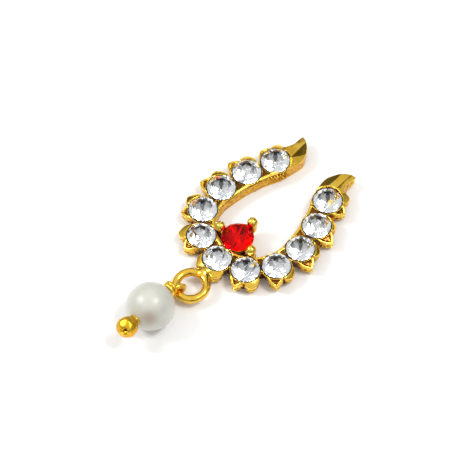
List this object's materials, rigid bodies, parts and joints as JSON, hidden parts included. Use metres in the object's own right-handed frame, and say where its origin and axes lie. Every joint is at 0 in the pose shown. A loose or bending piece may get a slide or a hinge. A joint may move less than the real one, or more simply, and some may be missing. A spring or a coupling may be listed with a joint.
{
  "type": "press-on nose pin with a pearl drop",
  "caption": "Gilt horseshoe press-on nose pin set with clear round stones and a red pear stone, with faceted horns and a pearl drop on a small ring.",
  "frame": {"origin": "on the flat back, under the centre of the bottom round stone", "axes": "+Y from the bottom stone to the mouth between the horns, +Z out of the stones' face, +X to the right arm seen from the face"},
  "size_m": [0.0122, 0.0248, 0.004],
  "materials": {
    "gilt_casting": "polished yellow gilt on the face and rims, cast texture on the side walls",
    "gilt_wire": "polished yellow gilt wire and ball",
    "clear_stone": "clear faceted glass with a silver foil back",
    "red_stone": "bright red faceted glass with a foil back",
    "pearl": "satin silvery-white pearl lustre"
  },
  "bodies": {
    "root": {"crescent_setting": "gilt_casting", "round_stone_01": "clear_stone", "round_stone_02": "clear_stone", "round_stone_03": "clear_stone", "round_stone_04": "clear_stone", "round_stone_05": "clear_stone", "round_stone_06": "clear_stone", "round_stone_07": "clear_stone", "round_stone_08": "clear_stone", "round_stone_09": "clear_stone", "round_stone_10": "clear_stone", "round_stone_11": "clear_stone", "pear_stone": "red_stone", "head_pin": "gilt_wire", "pearl": "pearl"}
  },
  "joints": []
}
